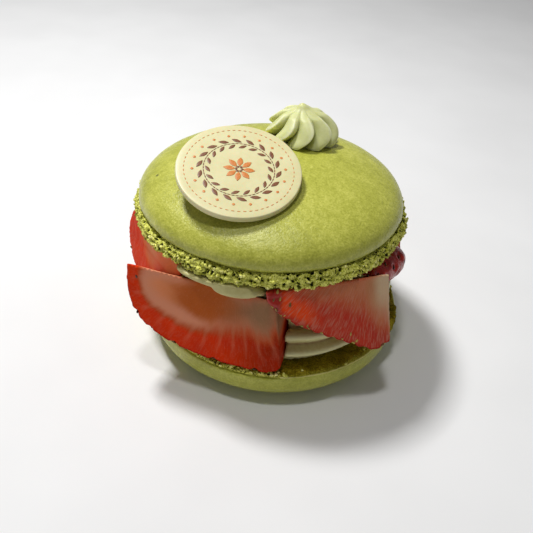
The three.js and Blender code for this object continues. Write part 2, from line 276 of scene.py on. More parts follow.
def mark(piece, **readings):
    """Writes numbers on each vertex for the materials to read."""
    for name, values in readings.items():
        layer = piece.data.attributes.new(name, "FLOAT", "POINT")
        layer.data.foreach_set("value", np.asarray(values, np.float32))


def turned_out(piece):
    """Turns a closed piece's faces outward."""
    points = points_of(piece)
    piece.data.calc_loop_triangles()
    corners = np.array([list(t.vertices) for t in piece.data.loop_triangles])
    a, b, c = points[corners.T]
    if np.einsum("ij,ij->i", a, np.cross(b, c)).sum() < 0:
        piece.data.flip_normals()
    return piece


def closed_piece(name, body, frame=np.eye(4)):
    points, faces = body
    return turned_out(mesh_object(name, place(points, frame), faces))


def settle(piece):
    """Makes what the modifiers show the piece's own mesh."""
    graph = bpy.context.evaluated_depsgraph_get()
    mesh = bpy.data.meshes.new_from_object(piece.evaluated_get(graph))
    piece.modifiers.clear()
    piece.data = mesh
    return piece


def carve(piece, tools, operation="DIFFERENCE"):
    for tool in tools:
        cut = piece.modifiers.new("carve", "BOOLEAN")
        cut.operation, cut.object, cut.solver = operation, tool, "MANIFOLD"
    return settle(piece)


def soften(piece, grain, rounds):
    """Even faces about one grain wide, with the edges rubbed round."""
    even = piece.modifiers.new("even", "REMESH")
    even.mode, even.voxel_size = "VOXEL", grain * MM
    rub = piece.modifiers.new("rub", "SMOOTH")
    rub.factor, rub.iterations = 0.5, rounds
    return settle(piece)


def finish_piece(piece, node, slot, *materials, kinds=None):
    piece.data.materials.clear()
    for material in materials:
        piece.data.materials.append(material)
    piece.data.shade_smooth()
    if node:
        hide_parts(node)
    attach(piece, "root")
    if kinds is not None:
        piece.data.polygons.foreach_set("material_index", np.asarray(kinds, np.int32))
    return piece


def turned_body(rings):
    """Points and faces of a closed body from rings of (radius, height, count).

    A count may halve or double from ring to ring. The first and last are poles."""
    points, faces, starts = [], [], []
    for radius, height, count in rings:
        starts.append(len(points))
        angles = np.arange(count) * 2 * pi / count
        points.extend((radius * cos(a), radius * sin(a), height) for a in angles)
    for (low, (_, _, few)), (high, (_, _, many)) in zip(
            zip(starts, rings), zip(starts[1:], rings[1:])):
        count = max(few, many) if 1 in (few, many) else min(few, many)
        for i in range(count):
            j = (i + 1) % count
            if few == 1:
                face = [low, high + j, high + i]
            elif many == 1:
                face = [low + i, low + j, high]
            elif few == many:
                face = [low + j, high + j, high + i, low + i]
            elif few < many:
                face = [low + i, low + j, high + (2 * i + 2) % many, high + 2 * i + 1, high + 2 * i]
            else:
                face = [low + 2 * i, low + 2 * i + 1, low + (2 * i + 2) % few, high + j, high + i]
            faces.append(face)
    return np.array(points), faces


def walk(corners, step):
    """Points about step mm apart along a line of (radius, height) corners."""
    corners = np.array(corners, float)
    lengths = np.r_[0, np.cumsum(np.hypot(*np.diff(corners, axis=0).T))]
    count = max(2, int(round(lengths[-1] / step)) + 1)
    at = np.linspace(0, lengths[-1], count)
    return np.c_[np.interp(at, lengths, corners[:, 0]), np.interp(at, lengths, corners[:, 1])]


def dome_arc(radius, height, exponent, low, high, steps):
    start, end = (asin((level / height) ** (exponent / 2)) for level in (low, high))
    angle = np.linspace(start, end, steps + 1)
    return np.c_[radius * np.maximum(np.cos(angle), 0) ** (2 / exponent),
                 height * np.sin(angle) ** (2 / exponent)]


def crumb(angle, level):
    small = np.sin(37 * angle + 2 * level) * np.cos(29 * angle - 3 * level)
    return small + 0.5 * np.sin(11 * angle + level) + 0.3 * np.sin(5 * angle + 1)


# ---------------------------------------------------------------- node trees


def plug(tree, value, socket):
    if isinstance(value, Amount):
        value = value.socket
    if isinstance(value, bpy.types.NodeSocket):
        tree.links.new(value, socket)
    else:
        socket.default_value = value


def math_node(operation):
    return lambda self, *others: self.combine(operation, *others)


class Amount:
    """A number inside a node tree. Sums and products of Amounts add math nodes."""

    def __init__(self, tree, socket):
        self.tree, self.socket = tree, socket

    def combine(self, operation, *others):
        node = self.tree.nodes.new("ShaderNodeMath")
        node.operation = operation
        for socket, value in zip(node.inputs, (self, *others)):
            plug(self.tree, value, socket)
        return Amount(self.tree, node.outputs[0])

    __add__ = __radd__ = math_node("ADD")
    __mul__ = __rmul__ = math_node("MULTIPLY")
    __sub__, __truediv__, __pow__ = map(math_node, ("SUBTRACT", "DIVIDE", "POWER"))
    sin, cos, size = map(math_node, ("SINE", "COSINE", "ABSOLUTE"))

    def __rsub__(self, other):
        return self * -1.0 + other

    def between(self, low, high):
        """0 up to low, 1 from high on, and a soft slope between them."""
        node = self.tree.nodes.new("ShaderNodeMapRange")
        node.interpolation_type = "SMOOTHSTEP"
        for key, value in (("Value", self), ("From Min", low), ("From Max", high)):
            plug(self.tree, value, node.inputs[key])
        return Amount(self.tree, node.outputs["Result"])


class Tree:
    """Shared by the materials and the Geometry Nodes plans."""

    def add(self, kind, inputs=(), **settings):
        node = self.tree.nodes.new(kind)
        for key, value in settings.items():
            setattr(node, key, value)
        for key, value in dict(inputs).items():
            plug(self.tree, value, node.inputs[key])
        return node

    def vector(self, x, y, z):
        return self.add("ShaderNodeCombineXYZ", {"X": x, "Y": y, "Z": z}).outputs[0]

    def parts(self, vector):
        node = self.add("ShaderNodeSeparateXYZ", {0: vector})
        return [Amount(self.tree, socket) for socket in node.outputs]


def linear(colour):
    """A colour as it looks on a screen, from 0 to 255, made linear."""
    share = np.array(colour) / 255
    made = np.where(share < 0.04045, share / 12.92, ((share + 0.055) / 1.055) ** 2.4)
    return (*made.tolist(), 1)


class Recipe(Tree):
    """A material. Lengths in it are millimetres, and colours go from 0 to 255."""

    def __init__(self, name, **gloss):
        self.material = bpy.data.materials.new(name)
        self.material.use_nodes = True
        self.tree = self.material.node_tree
        self.surface = self.tree.nodes["Principled BSDF"]
        self.pour(gloss)
        place = self.add("ShaderNodeTexCoord").outputs["Object"]
        scaled = self.add("ShaderNodeMapping", {"Vector": place, "Scale": (1 / MM,) * 3})
        self.place = scaled.outputs[0]

    def pour(self, sockets):
        for key, value in sockets.items():
            plug(self.tree, value, self.surface.inputs[key.replace("_", " ")])

    def reading(self, name):
        node = self.add("ShaderNodeAttribute", attribute_name=name)
        return Amount(self.tree, node.outputs["Fac"])

    def grain(self, size, detail=2.0, rough=0.5, at=None, warp=0.0):
        """Soft noise from 0 to 1 with features of about size mm."""
        node = self.add("ShaderNodeTexNoise", {
            "Vector": at or self.place, "Scale": 1 / size, "Detail": detail,
            "Roughness": rough, "Distortion": warp})
        return Amount(self.tree, node.outputs["Fac"])

    def spots(self, size, feature="F1", output="Distance"):
        node = self.add("ShaderNodeTexVoronoi", {
            "Vector": self.place, "Scale": 1 / size}, feature=feature)
        return Amount(self.tree, node.outputs[output])

    def tones(self, amount, *stops):
        """Colours along an amount: pairs of (place, colour)."""
        node = self.add("ShaderNodeValToRGB", {0: amount})
        ramp = node.color_ramp
        while len(ramp.elements) < len(stops):
            ramp.elements.new(0.5)
        for element, (at, colour) in zip(ramp.elements, stops):
            element.position, element.color = at, linear(colour)
        return node.outputs["Color"]

    def blend(self, share, first, second):
        node = self.add("ShaderNodeMix", {"Factor": share}, data_type="RGBA")
        colour_sockets = [s for s in node.inputs if s.type == "RGBA"]
        for socket, value in zip(colour_sockets, (first, second)):
            plug(self.tree, linear(value) if isinstance(value, tuple) else value, socket)
        return [s for s in node.outputs if s.type == "RGBA"][0]

    def serve(self, colour, *layers, **sockets):
        """The finished material. Its layers are bumps laid over each other: pairs of
        (height from 0 to 1, depth in mm)."""
        self.pour(dict(sockets, Base_Color=colour))
        below = {}
        for height, depth in layers:
            bump = self.add("ShaderNodeBump", {
                "Height": height, "Strength": 1.0, "Distance": depth * MM, **below})
            below = {"Normal": bump.outputs["Normal"]}
        self.pour(below)
        return self.material


class Plan(Tree):
    """A Geometry Nodes tree with named inputs for its sizes, in millimetres."""

    KINDS = {float: "NodeSocketFloat", int: "NodeSocketInt"}

    def __init__(self, name, **sizes):
        self.tree = bpy.data.node_groups.new(name, "GeometryNodeTree")
        face = self.tree.interface
        face.new_socket("Geometry", in_out="INPUT", socket_type="NodeSocketGeometry")
        face.new_socket("Geometry", in_out="OUTPUT", socket_type="NodeSocketGeometry")
        face.new_socket("Finish", in_out="INPUT", socket_type="NodeSocketMaterial")
        for key, value in sizes.items():
            socket = face.new_socket(key, in_out="INPUT", socket_type=self.KINDS[type(value)])
            socket.default_value = value
        self.given = self.tree.nodes.new("NodeGroupInput")

    def size(self, name):
        return Amount(self.tree, self.given.outputs[name])

    def given_place(self):
        return self.parts(self.add("GeometryNodeInputPosition").outputs[0])

    def set_place(self, geometry, **places):
        """Moves points: to a Position, or by an Offset."""
        return self.add("GeometryNodeSetPosition", {"Geometry": geometry, **places}).outputs[0]

    def points_from(self, mesh):
        return self.add("GeometryNodeMeshToPoints", {"Mesh": mesh}).outputs[0]

    def chance(self, kind, low, high):
        """A random value for each point, FLOAT or FLOAT_VECTOR, from low to high."""
        node = self.add("FunctionNodeRandomValue", {"Seed": self.size("Seed")}, data_type=kind)
        wanted = [s for s in node.inputs if s.enabled and s.name in ("Min", "Max")]
        for socket, value in zip(wanted, (low, high)):
            plug(self.tree, value, socket)
        return [s for s in node.outputs if s.enabled][0]

    def strew(self, points, instance, **looks):
        return self.add("GeometryNodeInstanceOnPoints", {
            "Points": points, "Instance": instance, **looks}).outputs[0]

    def deliver(self, geometry):
        """Ends the tree: instances made real, and the finish put on."""
        real = self.add("GeometryNodeRealizeInstances", {0: geometry}).outputs[0]
        coated = self.add("GeometryNodeSetMaterial", {
            "Geometry": real, "Material": self.given.outputs["Finish"]})
        end = self.tree.nodes.new("NodeGroupOutput")
        self.tree.links.new(coated.outputs[0], end.inputs[0])
        return self

    def make(self, name, start=None, finish=None, **sizes):
        """Runs the plan, and gives a plain mesh object in metres."""
        host = shown(name, start or bpy.data.meshes.new(name))
        step = host.modifiers.new(name, "NODES")
        step.node_group = self.tree
        chosen = dict(sizes, Finish=finish)
        for item in self.tree.interface.items_tree:
            if item.in_out == "INPUT" and chosen.get(item.name) is not None:
                step[item.identifier] = chosen[item.name]
        settle(host)
        host.data.transform(Matrix.Scale(MM, 4))
        return host


# ---------------------------------------------------------------- finishes


def pistachio_crust(name, dark, middling, light):
    crust = Recipe(name, Specular_IOR_Level=0.5, Sheen_Weight=0.06, Sheen_Roughness=0.5)
    fine = crust.grain(0.5, detail=3.0, rough=0.7)
    shade = fine * 0.5 + crust.grain(1.5) * 0.25 + crust.grain(8.0) * 0.25
    colour = crust.tones(shade, (0.34, dark), (0.5, middling), (0.64, light))
    # the pinholes are darkened with painted shade
    pick = crust.spots(7.5, output="Color")
    pit = (1 - crust.spots(7.5).between(0.03, 0.07)) * pick.between(0.35, 0.45)
    colour = crust.blend(pit * 0.8, colour, (84, 84, 26))
    return crust.serve(colour, (fine, 0.1), (crust.grain(2.0), 0.14), (1 - pit, 0.25),
                       Roughness=0.27 + fine * 0.14)


def torn_foot(name, bright, middle, low):
    foot = Recipe(name, Roughness=0.55, Specular_IOR_Level=0.2)
    fine = foot.grain(0.45, detail=3.0, rough=0.7, warp=0.6)
    strand = 1 - foot.spots(0.62, feature="DISTANCE_TO_EDGE").between(0.03, 0.2)
    uneven = (fine - 0.5) * 1.5 + (foot.grain(1.1) - 0.5) * 0.8
    # painted shade: the hollow mark darkens the pores of the torn foot, down to near black
    depth = foot.reading("hollow") + uneven + 0.16 - strand * 0.2
    colour = foot.tones(depth, (0.0, bright), (0.2, middle), (0.45, low), (0.74, (54, 56, 5)),
                        (0.97, (14, 16, 0)))
    return foot.serve(colour, (fine, 0.26), (strand, 0.14))


def loose_crumb():
    loose = Recipe("loose_crumb", Roughness=0.6, Specular_IOR_Level=0.3)
    colour = loose.tones(loose.grain(1.1), (0.3, (150, 152, 40)), (0.5, (212, 210, 90)),
                         (0.64, (250, 246, 160)))
    return loose.serve(colour, (loose.grain(0.25), 0.06))


def baked_flat():
    flat = Recipe("baked_flat", Roughness=0.75, Specular_IOR_Level=0.05)
    rim = flat.reading("rim")
    fine, broad = flat.grain(0.45, detail=4.0, rough=0.75), flat.grain(4.0)
    pick = flat.spots(0.7, output="Color")
    holes = (1 - flat.spots(0.7).between(0.1, 0.3)) * pick.between(0.4, 0.6)
    shade = fine * 0.7 + broad * 0.3
    brown = flat.tones(shade, (0.36, (76, 66, 6)), (0.5, (136, 120, 18)), (0.66, (198, 182, 58)))
    green = flat.tones(shade, (0.36, (96, 88, 14)), (0.5, (142, 134, 36)), (0.66, (188, 180, 76)))
    colour = flat.blend((rim + (broad - 0.5) * 0.3).between(0.1, 1.0), brown, green)
    colour = flat.blend(rim.between(1.1, 1.7) * 0.8, colour, (246, 240, 156))
    # painted shade: the holes are darkened
    colour = flat.blend(holes * 0.3, colour, (30, 26, 0))
    return flat.serve(colour, (fine, 0.14), (1 - holes, 0.15))


def whipped_cream(name, light, shade, crest, groove_shade, sunk, melt, depth):
    cream = Recipe(name, Roughness=0.42, Specular_IOR_Level=0.3, Subsurface_Weight=melt,
                   Subsurface_Scale=depth * MM, Subsurface_Radius=(1.0, 0.9, 0.5))
    fine, broad = cream.grain(0.9, detail=3.0, rough=0.6), cream.grain(6.0, detail=1.0)
    colour = cream.tones(fine * 0.4 + broad * 0.6, (0.35, shade), (0.65, light))
    # painted light and shade along the ridges: grooves darkened towards groove_shade as strongly as
    # sunk, crests lightened towards the crest colour as a painted highlight
    height = cream.reading("crest") + (fine - 0.5) * 0.1
    colour = cream.blend((1 - height.between(0.0, 0.5)) * sunk, colour, groove_shade)
    colour = cream.blend(height.between(0.72, 1.0) * 0.85, colour, crest)
    return cream.serve(colour, (cream.grain(0.35), 0.02), (cream.grain(1.6, detail=1.0), 0.06))


# colours of the cut flesh from the rind inward, at the tip, at the butt, and of the skin.
# The lighter tip colours and the low red and grey towards the butt are partly the flesh's
# own and partly painted light and shade: the tips lie towards the light, the butts in shade.
FLESH = dict(
    orange=dict(edge=(192, 36, 12), red=(224, 56, 8), low=(150, 36, 0), inner=(190, 78, 36),
                glow=(228, 154, 120), core=(184, 92, 38), tip=(238, 148, 100),
                grey=(150, 112, 80), skin=(150, 16, 8)),
    scarlet=dict(edge=(206, 32, 6), red=(230, 56, 4), low=(222, 54, 6), inner=(236, 98, 44),
                 glow=(244, 138, 88), core=(244, 162, 112), tip=(238, 166, 116),
                 grey=(236, 160, 116), skin=(176, 26, 10)),
    crimson=dict(edge=(176, 44, 34), red=(196, 60, 42), low=(178, 68, 54), inner=(196, 96, 62),
                 glow=(196, 134, 94), core=(178, 108, 62), tip=(238, 74, 26),
                 grey=(214, 186, 150), skin=(150, 28, 16)))
THREAD_AND_GLINT = (206.4, 146.6, 123.6)
VEIN_SPACING = 4.4


def strawberry(name, spec, **gloss):
    """Cut flesh that goes from a red rim to pale flesh, with skin where it isn't cut."""
    berry = Recipe(name, Subsurface_Weight=0.08, Subsurface_Scale=1.5 * MM,
                   Subsurface_Radius=(1.0, 0.25, 0.08), **gloss)
    hue = FLESH[spec.palette]
    band, fan, rind, skin, butt, tip, core = map(
        berry.reading, ("band", "fan", "rind", "skin", "butt", "tip", "core"))
    streak = berry.grain(1.0, detail=3.0, rough=0.6, at=berry.vector(fan * 1.1, rind * 0.15, 0.0))
    wide = berry.grain(6.0)
    speck = berry.grain(0.5, detail=3.0, rough=0.7)
    line = (fan + (berry.grain(7.0, detail=1.0) - 0.5) * 2.0) * (2 * pi / VEIN_SPACING)
    wave = line.cos() * 0.5 + 0.5
    scallop = wave ** 3.0 * (1 - band.between(1.0, 1.45)) * (0.4 * spec.veins)
    depth = band + (streak - 0.5) * 0.14 + (wide - 0.5) * 0.2 + scallop
    depth = (depth - 1) / spec.softness + 1
    # partly painted light and shade: towards the butt red turns to low and pale to grey, towards
    # the tip the core turns to the lighter tip colour
    pale = berry.blend(butt * 0.8, hue["glow"], hue["grey"])
    red = berry.blend(butt, hue["red"], hue["low"])
    red = berry.blend((wide - 0.35) * 1.2, red, hue["edge"])
    deep = berry.blend((tip + (wide - 0.5) * 0.5).between(0.0, 1.0), hue["core"], hue["tip"])
    deep = berry.blend((butt + (wide - 0.5) * 0.4).between(0.0, 0.8), deep, hue["grey"])
    flesh = berry.blend(depth.between(0.78, 1.12), red, hue["inner"])
    flesh = berry.blend(depth.between(0.92, 1.42) * 0.85, flesh, pale)
    flesh = berry.blend((depth - core).between(0.0, 0.5), flesh, deep)
    flushed = tip.between(0.0, 0.55) * band.between(0.08, 0.3) * (1 - band.between(0.5, 1.1))
    flesh = berry.blend(flushed * spec.blush, flesh, hue["tip"])
    vein = wave ** 5.0 * (1 - band.between(0.7, 1.1)) * band.between(0.1, 0.75) * (wide + 0.3)
    flesh = berry.blend(vein * spec.veins, flesh, hue["glow"])
    # pale threads of the flesh, with painted glints on them
    thread = berry.grain(1.0, warp=0.6, at=berry.vector(fan * 2.8, rind * 0.42, 1.0))
    light = thread.between(0.44, 0.66) * spec.fibres * (1 - band.between(0.9, 2.4) * 0.7)
    flesh = berry.blend(light, flesh, THREAD_AND_GLINT)
    flesh = berry.blend((speck.between(0.4, 0.75) - 0.4) * 0.2, flesh, hue["glow"])
    flesh = berry.blend((1 - rind.between(0.1, 0.6)) * 0.7, flesh, hue["edge"])
    outer = berry.blend(berry.grain(2.4).between(0.3, 0.7), hue["skin"], hue["edge"])
    return berry.serve(berry.blend(skin, flesh, outer), (thread, 0.03 + 0.2 * spec.fibres),
                       (berry.grain(0.8), 0.05))


def seed_coat(name, light, dark):
    coat = Recipe(name, Roughness=0.35, Specular_IOR_Level=0.5)
    return coat.serve(coat.tones(coat.grain(3.0, detail=1.0), (0.38, dark), (0.6, light)),
                      (coat.grain(0.3), 0.04))


def white_chocolate():
    chocolate = Recipe("white_chocolate", Roughness=0.34, Specular_IOR_Level=0.45,
                       Subsurface_Weight=0.1, Subsurface_Scale=MM)
    broad, fine = chocolate.grain(9.0), chocolate.grain(1.2, detail=3.0)
    colour = chocolate.tones(broad * 0.7 + fine * 0.3, (0.3, (216, 208, 154)),
                             (0.7, (229, 222, 175)))
    return chocolate.serve(colour, (fine, 0.012), (broad, 0.08))


def printed(name, colour, worn):
    ink = Recipe(name, Roughness=0.4, Specular_IOR_Level=0.4)
    speck = ink.grain(0.35)
    return ink.serve(ink.tones(speck, (0.35, colour), (0.68, worn)), (speck, 0.01))


CRUST = pistachio_crust("pistachio_crust", (153, 155, 49), (181, 183, 71), (207, 206, 98))
BASE_CRUST = pistachio_crust("base_crust", (156, 158, 42), (182, 184, 66), (204, 204, 92))
FOOT = torn_foot("torn_foot", (250, 250, 130), (216, 218, 78), (154, 158, 34))
BASE_FOOT = torn_foot("base_foot", (226, 222, 104), (172, 170, 52), (104, 100, 16))
FLAT = baked_flat()
CRUMB = loose_crumb()
# the two creams: two tones, the crest's painted highlight, the groove's painted shade and its
# strength, melt and depth
FILLING = whipped_cream("filling_cream", (208, 202, 142), (188, 178, 118), (220, 215, 162),
                        (134, 100, 56), 0.85, 0.2, 1.2)
PIPED_GREEN = whipped_cream("rosette_cream", (217, 219, 163), (201, 204, 141), (234, 235, 192),
                            (164, 170, 92), 0.5, 0.6, 2.6)
CHOCOLATE = white_chocolate()
SEED = seed_coat("pale_seed", (206, 186, 84), (112, 74, 24))
DARK_SEED = seed_coat("dark_seed", (110, 60, 24), (60, 26, 14))
BROWN_PRINT = printed("brown_print", (112, 62, 34), (140, 92, 58))
ORANGE_PRINT = printed("orange_print", (206, 112, 38), (220, 150, 84))

# ---------------------------------------------------------------- shells

FOOT_POINTS = 1152  # points round a foot
WIDE = 35.3  # from this radius outward a ring has half as many


def count_at(radius):
    """Points round a smooth ring, halved as often as keeps them about evenly spaced."""
    return FOOT_POINTS >> ceil(log2(max(1, WIDE / radius))) + 1


def sponge(points, size, seed):
    """Height of torn crumb, from -1 in its pores to 1 on the strands between them."""
    bends = [swell(points, size * 1.1, seed + k) for k in (1, 2, 3)]
    near, following, luck = cells(points + 0.35 * size * np.stack(bends, axis=-1), size, seed)
    wall = smooth(0.45, 0.06, following - near)
    open_cell = smooth(0.3, 0.5, luck)
    height = (1 - open_cell) * (0.75 - near) + open_cell * (1.55 * wall - 0.95)
    fine, broad = swell(points, size * 0.42, seed + 5), swell(points, size * 3.2, seed + 6)
    return height + 0.3 * fine + 0.3 * broad


def shell_body(profile, counts, rough, size, seed, ruffle, ripple, share=lambda angle: 1):
    """A shell turned from its profile (top pole first), torn where rough is over 0.

    Gives its points and faces, how deep each point lies in a pore, the ring of each
    point, and the first ring that each face touches."""
    points, faces = turned_body([(r, z, c) for (r, z), c in zip(profile, counts)])
    row = np.repeat(np.arange(len(profile)), counts)
    along = np.gradient(profile, axis=0)
    out = unit(np.c_[-along[:, 1], along[:, 0]])[row]
    angle, height = bearing(points), sponge(points, size, seed)
    tear = rough[row] * share(angle)
    push = tear * (0.55 * height + ruffle(angle, points[:, 2])) + ripple(points) * (1 - tear)
    radius = np.maximum(np.hypot(points[:, 0], points[:, 1]), 1e-6)
    points[:, :2] += (push * out[:, 0])[:, None] * points[:, :2] / radius[:, None]
    points[:, 2] += push * out[:, 1]
    # how deep each point lies in a pore; the feet's material paints shade in the pores by it
    hollow = smooth(0.35, -0.75, height) * smooth(0.1, 0.6, tear)
    faces = [face[::-1] for face in faces]
    return points, faces, hollow, row, np.array([row[face].min() for face in faces])


def top_shell():
    p, sole = TOP, -TOP.foot_height
    dome = dome_arc(p.radius, p.dome_height, p.exponent, 0, p.dome_height, 56)[::-1]
    dome[:, 1] += p.widest
    dome[0, 0] = 0
    tuck = walk([(p.radius, p.widest), (p.radius - 0.12, 1.0), (p.radius - 0.5, 0.5),
                 (p.seam, 0)], 0.25)[1:]
    foot = walk([(p.seam, 0), (p.foot - 0.5, -0.35), (p.foot, sole + 1.5), (p.foot, sole + 0.8),
                 (p.foot - 0.5, sole + 0.3), (p.foot - 1.4, sole + 0.1)], 0.19)[1:]
    under = walk([(p.foot - 1.4, sole + 0.1), (p.foot - 6, sole)], 0.45)[1:]
    inner = [(radius, sole) for radius in (27, 20, 10, 0)]
    counts = ([1] + [count_at(r) for r in dome[1:, 0]] + [FOOT_POINTS // 2] * len(tuck)
              + [FOOT_POINTS] * (len(foot) + len(under))
              + [FOOT_POINTS // 2, FOOT_POINTS // 4, FOOT_POINTS // 8, 1])
    first = len(dome) + len(tuck)
    last = first + len(foot)
    rough = np.zeros(len(counts))
    rough[first:last] = np.minimum(1, 0.35 + np.arange(len(foot)) / 4)
    rough[last - 4:last] = (0.75, 0.5, 0.35, 0.3)
    rough[last:last + len(under)] = np.linspace(0.3, 0.1, len(under))

    def ripple(points):
        radius, level = np.hypot(points[:, 0], points[:, 1]), points[:, 2]
        edge = smooth(31.0, 35.0, radius) * smooth(3.5, 1.2, level)
        notch = smooth(0.35, 0.8, swell(points, 4.5, 31)) * smooth(1.6, 0.2, level)
        broad = 0.16 * swell(points, 13, 21) + 0.05 * swell(points, 4, 22)
        small = 0.1 * edge * swell(points, 3, 23)
        return broad * smooth(0, 0.4, level) + small - 0.5 * notch * edge

    points, faces, hollow, row, level = shell_body(
        np.vstack([dome, tuck, foot, under, inner]), counts, rough, 1.05, 11,
        lambda angle, level: RUFFLE * crumb(angle, level), ripple)
    points[row >= last, 2] = np.maximum(points[row >= last, 2], sole)
    piece = mesh_object("top_shell", place(points, TOP_FRAME), faces)
    lip = smooth(last - 6, last - 1, row)
    # painted light and shade on the top foot: lit makes it lighter towards the front left and
    # darker towards the back right, as the light falls
    lit = 0.12 * np.cos(bearing(points) + radians(140))
    mark(piece, hollow=hollow * (1 - 0.6 * lip) - 0.2 * lip - lit)
    finish_piece(piece, "shell_top", "shell", CRUST, FOOT, kinds=level >= first - 1)
    torn = (row >= first) & (row < last)
    strew_crumbs("top_crumbs", piece, torn & (hollow < 0.3), 0.05)


def right_bulge(angle):
    """How far the torn rim juts out at the right, in mm."""
    return np.interp(np.degrees(angle),
                     (-40, -28, -24, -21.5, -18.8, -16.5, -14.8, -13, -10.6, -8.6, -6, 0, 14),
                     (0, 0.9, 1.6, 1.9, 1.5, 1.8, 1.1, 0.1, 1.1, 0.8, -0.2, -0.7, 0))


def juts(angle, full):
    """0 where the rim's outline is even, 1 where it is full mm or more off at the right."""
    return np.minimum(np.abs(right_bulge(angle)) / full, 1)


def ragged(angle):
    """The bottom shell's rim is torn at the left and nearly whole elsewhere."""
    return smooth(0.34, 0.5, np.cos(angle + radians(150)))


def bottom_shell():
    p = BOTTOM
    below = p.dome_height - p.sunk
    top = [(radius, p.flat_top) for radius in (0, *np.linspace(0.6, 31.0, 60))]
    flat_edge = walk([(p.flat - 2, p.flat_top), (p.flat, p.foot_top)], 0.25)
    foot = walk([(p.flat, p.foot_top), (p.radius - 1.7, p.foot_top), (p.radius - 0.9, 11.8),
                 (p.radius - 0.45, 11.3), (p.radius - 0.3, 10.9), (p.radius - 0.45, 10.6),
                 (p.seam, p.wall_top)], 0.2)[1:]
    neck = walk([(p.seam, p.wall_top), (p.radius - 0.3, 10.2), (p.radius - 0.05, 9.6),
                 (p.radius, below)], 0.25)[1:]
    wall = dome_arc(p.radius, p.dome_height, p.exponent, 0, below, 40)[1:]
    wall[:, 1] = below - wall[:, 1]
    wall[-1, 1] = 0
    inner = [(radius, 0) for radius in (18, 9, 0)]
    counts = ([1] + [count_at(r) for r, _ in top[1:]] + [FOOT_POINTS // 2] * len(flat_edge)
              + [FOOT_POINTS] * len(foot) + [FOOT_POINTS // 2] * (len(neck) + len(wall))
              + [FOOT_POINTS // 4, FOOT_POINTS // 8, 1])
    first = len(top) + len(flat_edge)
    last = first + len(foot)
    rough = np.zeros(len(counts))
    rough[first:last] = np.interp(np.arange(len(foot)), (0, 9, 12, len(foot)), (0.6, 0.6, 0.3, 0.1))
    rough[first - 6:first] = (0.15, 0.25, 0.35, 0.45, 0.55, 0.6)

    def ripple(points):
        level = points[:, 2]
        high = smooth(11.2, 11.7, level)
        baked = (0.07 * swell(points, 0.9, 41) + 0.15 * swell(points, 5, 42)
                 + 0.05 * swell(points, 0.45, 43))
        side = 0.12 * swell(points, 11, 44) + 0.04 * swell(points, 3.5, 45)
        whole = 1 - ragged(bearing(points))
        side += 0.5 * whole * np.exp(-((level - p.wall_top) / 0.35) ** 2)
        return (high * baked + (1 - high) * side) * smooth(0.0, 0.5, level)

    points, faces, hollow, row, level = shell_body(
        np.vstack([top, flat_edge, foot, neck, wall, inner]), counts, rough, 0.8, 51,
        lambda angle, level: 0.6 * RUFFLE * crumb(angle, level) + right_bulge(angle) / 0.6,
        ripple, lambda angle: 0.3 + 0.7 * np.maximum(ragged(angle), juts(angle, 0.5)))
    points[:, 2] = np.maximum(points[:, 2], 0)
    piece = mesh_object("bottom_shell", points, faces)
    left = ragged(bearing(points))
    share = (row - first) / len(foot)
    edge = smooth(0.25 - 0.2 * left, 0.78, share + 0.14 * swell(points, 1.4, 46))
    bright = edge + (0.5 + 0.5 * left) * smooth(0.62, 0.74, share)
    # painted shade in the pores of the torn rim at the left
    mark(piece, hollow=hollow * left, rim=(1 - 0.6 * juts(bearing(points), 1)) * bright)
    corner = first + int((foot[:, 1] > 11.6).sum())
    torn_side = left[[face[0] for face in faces]] > 0.5
    kinds = np.where(level < np.where(torn_side, corner, last - 1), 2, level < last - 1)
    finish_piece(piece, "shell_bottom", "shell", BASE_CRUST, BASE_FOOT, FLAT, kinds=kinds)
    torn = (row >= corner - 4) & (row < corner + 3)
    strew_crumbs("base_crumbs", piece, torn & (hollow < 0.5), 0.004 + 0.07 * left, Largest=0.5)


def crumb_plan():
    """Loose crumbs, each an uneven ball, one on each point."""
    plan = Plan("strewn_crumbs", Smallest=0.12, Largest=0.4, Seed=1)
    ball = plan.add("GeometryNodeMeshIcoSphere", {"Radius": 1.0, "Subdivisions": 2})
    dents = plan.add("ShaderNodeTexNoise", {"Scale": 1.1, "Detail": 2.0})
    bulge = plan.add("ShaderNodeVectorMath", {
        0: plan.add("GeometryNodeInputNormal").outputs[0],
        "Scale": (Amount(plan.tree, dents.outputs["Fac"]) - 0.5) * 2.4}, operation="SCALE")
    lump = plan.set_place(ball.outputs[0], Offset=bulge.outputs[0])
    full_turns = (6.3, 6.3, 6.3)
    return plan.deliver(plan.strew(
        plan.points_from(plan.given.outputs["Geometry"]), lump,
        Rotation=plan.chance("FLOAT_VECTOR", (0.0, 0.0, 0.0), full_turns),
        Scale=plan.chance("FLOAT", plan.size("Smallest"), plan.size("Largest"))))


CRUMBS = crumb_plan()


def strew_crumbs(name, shell, where, share, **sizes):
    points = points_of(shell)
    chosen = np.nonzero(where)[0]
    luck = hashed(np.stack([chosen, chosen // 7, chosen // 31], axis=-1), 5)
    seats = points[chosen[luck < np.broadcast_to(share, len(points))[chosen]]]
    finish_piece(CRUMBS.make(name, seats_for(seats), CRUMB, **sizes), None, "shell", CRUMB)


top_shell()
bottom_shell()

# ---------------------------------------------------------------- strawberries

BERRY_SIDES, BERRY_ROWS = 96, 48
SLAB_REACH, SLAB_DEPTH = 70, 30
SEED_SPACING, GOLDEN_ANGLE = 3.6, 2.399963


def flat_width(t, spec):
    """The berry's width at a share of its length, as if its butt were cut off flat."""
    return np.maximum(0, 1 - np.clip(t, 0, 1) ** spec.taper) ** spec.point


def berry_width(t, spec):
    edge = np.maximum(0, (spec.shoulder - t) / spec.shoulder)
    return np.sqrt(1 - (1 - spec.blunt) * edge * edge) * flat_width(t, spec)


